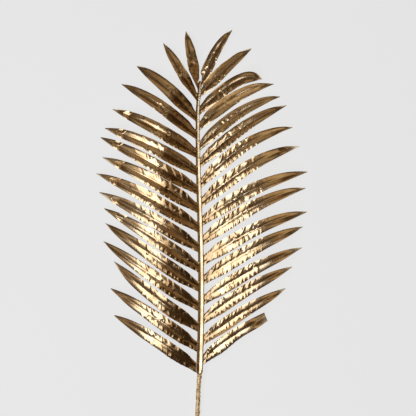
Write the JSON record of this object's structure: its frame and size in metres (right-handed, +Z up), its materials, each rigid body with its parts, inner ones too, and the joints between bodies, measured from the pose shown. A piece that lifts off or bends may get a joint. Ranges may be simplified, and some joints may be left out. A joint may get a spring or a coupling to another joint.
{
  "type": "dried date palm frond, gold finish",
  "caption": "Dried pinnate palm frond with a metallic gold finish: folded, rippled, pointed leaflets on both sides of a slender rib that runs on into a cut stem.",
  "frame": {"origin": "bottom centre of the bounding box, on the surface that the frond lies on", "axes": "+Z up, out of the surface; +Y along the rib towards the frond's tip, with the cut stem end at -Y; +X to the right, seen from above with the tip ahead"},
  "size_m": [0.2746, 0.6328, 0.0283],
  "materials": {
    "leaf": "satin",
    "rib": "satin",
    "stem": "matte"
  },
  "bodies": {
    "root": {"leaflet_left_01": "leaf", "leaflet_left_02": "leaf", "leaflet_left_03": "leaf", "leaflet_left_04": "leaf", "leaflet_left_05": "leaf", "leaflet_left_06": "leaf", "leaflet_left_07": "leaf", "leaflet_left_08": "leaf", "leaflet_left_09": "leaf", "leaflet_left_10": "leaf", "leaflet_left_11": "leaf", "leaflet_left_12": "leaf", "leaflet_left_13": "leaf", "leaflet_left_14": "leaf", "leaflet_left_15": "leaf", "leaflet_left_16": "leaf", "leaflet_right_01": "leaf", "leaflet_right_02": "leaf", "leaflet_right_03": "leaf", "leaflet_right_04": "leaf", "leaflet_right_05": "leaf", "leaflet_right_06": "leaf", "leaflet_right_07": "leaf", "leaflet_right_08": "leaf", "leaflet_right_09": "leaf", "leaflet_right_10": "leaf", "leaflet_right_11": "leaf", "leaflet_right_12": "leaf", "leaflet_right_13": "leaf", "leaflet_right_14": "leaf", "leaflet_right_15": "leaf", "leaflet_right_16": "leaf", "rachis_rib": "rib", "stem": "stem"}
  },
  "joints": []
}
